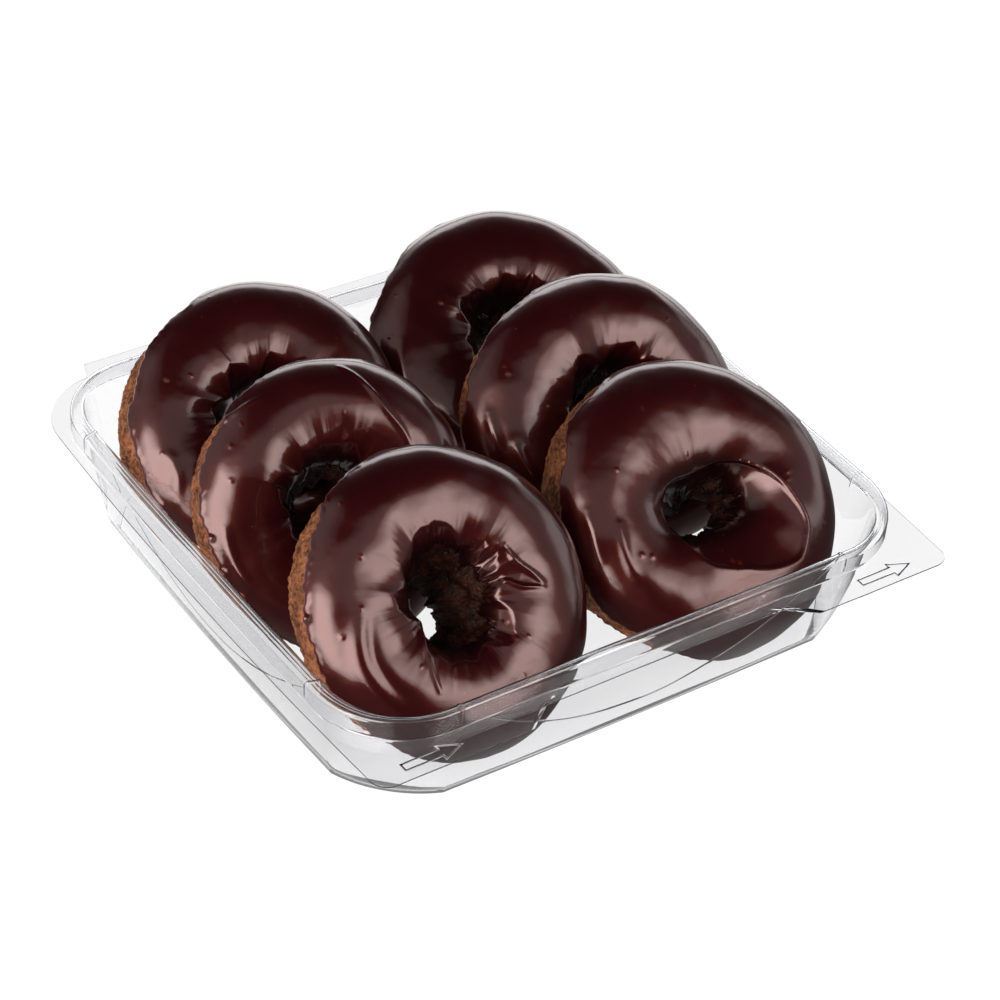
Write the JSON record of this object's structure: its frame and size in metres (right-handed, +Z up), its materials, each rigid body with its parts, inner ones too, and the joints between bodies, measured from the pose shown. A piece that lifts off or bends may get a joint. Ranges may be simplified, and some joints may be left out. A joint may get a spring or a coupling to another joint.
{
  "type": "box of doughnuts",
  "caption": "Iced ring doughnuts leaning in two rows in the open clear tray of a snap-shut pack.",
  "frame": {"origin": "middle of the tray's footprint, on the surface it stands on", "axes": "+Z up, -Y towards the side with the two thumb tabs, +X to the right seen from that side"},
  "size_m": [0.1886, 0.192, 0.0681],
  "materials": {
    "clear_film": "clear thermoformed sheet, glossy",
    "chocolate_icing": "set chocolate icing, glossy, dark brown",
    "cake": "fried cake crust and crumb, matt, golden brown"
  },
  "bodies": {
    "root": {"tray": "clear_film", "doughnut_front_left": "chocolate_icing", "doughnut_middle_left": "chocolate_icing", "doughnut_back_left": "chocolate_icing", "doughnut_front_right": "chocolate_icing", "doughnut_middle_right": "chocolate_icing", "doughnut_back_right": "chocolate_icing"}
  },
  "joints": []
}
